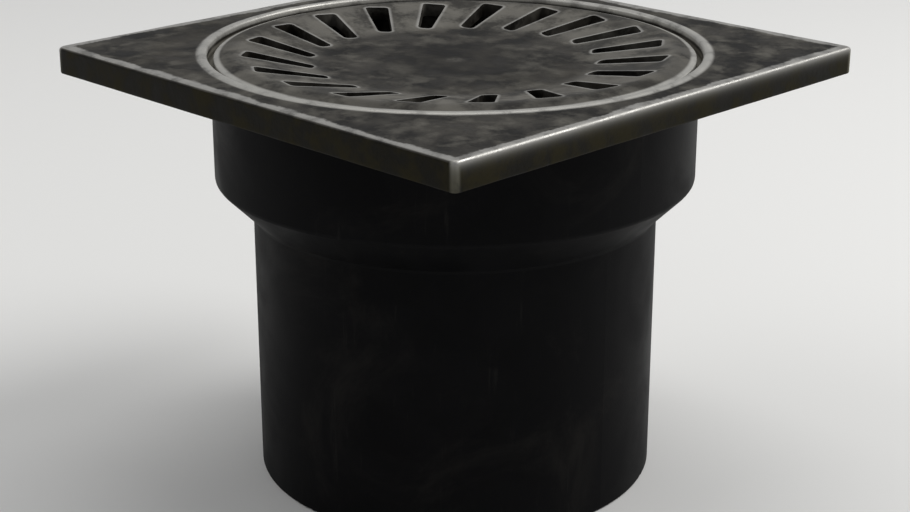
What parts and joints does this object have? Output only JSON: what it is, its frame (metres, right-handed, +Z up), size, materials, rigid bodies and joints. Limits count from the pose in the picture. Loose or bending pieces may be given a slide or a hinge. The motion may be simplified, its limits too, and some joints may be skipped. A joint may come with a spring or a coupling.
{
  "type": "shower drain",
  "caption": "Square floor drain for a shower: dished slotted grate in a metal plate, on a round pot with a spigot for drain pipe and a lift-out water trap.",
  "frame": {"origin": "centre of the spigot's lower end, the middle of the surface that the drain stands on", "axes": "+Z up along the drain's axis towards the grate, +X and +Y along the sides of the square plate"},
  "size_m": [0.15, 0.15, 0.1183],
  "materials": {
    "worn_iron": "dark mottled metal, rubbed bright along every edge",
    "black_plastic": "satin moulded plastic",
    "grey_plastic": "satin moulded plastic",
    "seal_rubber": "matt rubber"
  },
  "bodies": {
    "root": {"frame_plate": "worn_iron", "grate": "worn_iron", "pot": "black_plastic", "trap_funnel": "grey_plastic", "trap_cup": "grey_plastic", "frame_seal": "seal_rubber", "funnel_seal": "seal_rubber"}
  },
  "joints": []
}
